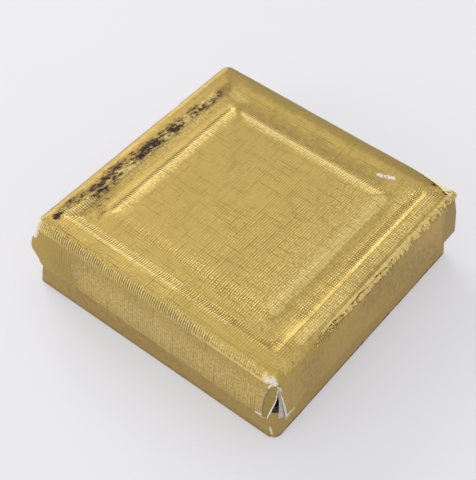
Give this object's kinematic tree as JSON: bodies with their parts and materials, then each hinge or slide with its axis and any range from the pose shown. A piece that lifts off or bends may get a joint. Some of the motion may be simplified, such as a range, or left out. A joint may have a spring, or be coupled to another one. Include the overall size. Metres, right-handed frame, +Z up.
{
  "type": "coin presentation box",
  "caption": "Square gilt-paper card box with a cove-framed lift-off lid and a velvet platform with a round well that holds a crown-sized coin.",
  "frame": {"origin": "centre of the underside, on the face it rests on", "axes": "+Z up through the lid, +X and -Y towards the two walls that meet at the lid's split front corner"},
  "size_m": [0.0618, 0.0618, 0.0188],
  "materials": {
    "gilt_paper": "linen-embossed gilt paper, rubbed at the edges",
    "greyboard": "raw grey strawboard with cut edges",
    "card": "buff card, uncoated",
    "lining_paper": "aged white lining paper",
    "satin": "ivory satin over wadding",
    "velvet": "dark plum cotton velvet"
  },
  "bodies": {
    "base": {"base_bottom_sheet": "lining_paper", "base_board": "greyboard", "base_corner_stay_front": "gilt_paper", "base_corner_stay_right": "gilt_paper", "base_corner_stay_back": "gilt_paper", "base_corner_stay_left": "gilt_paper", "base_wrap": "gilt_paper", "base_wall_lining": "lining_paper", "insert_tray": "card", "insert_velvet": "velvet", "well_pedestal": "card", "well_floor": "card", "well_ring": "card", "well_velvet": "velvet"},
    "lid": {"lid_board": "greyboard", "lid_corner_stay_front": "gilt_paper", "lid_corner_stay_right": "gilt_paper", "lid_corner_stay_back": "gilt_paper", "lid_corner_stay_left": "gilt_paper", "lid_wrap": "gilt_paper", "lid_lining": "lining_paper", "lid_pad_card": "card", "lid_pad": "satin"}
  },
  "joints": [
    {"name": "lid_lift", "type": "slide", "parent": "base", "child": "lid", "axis": [0, 0, 1], "range_m": [0, 0.04]}
  ]
}
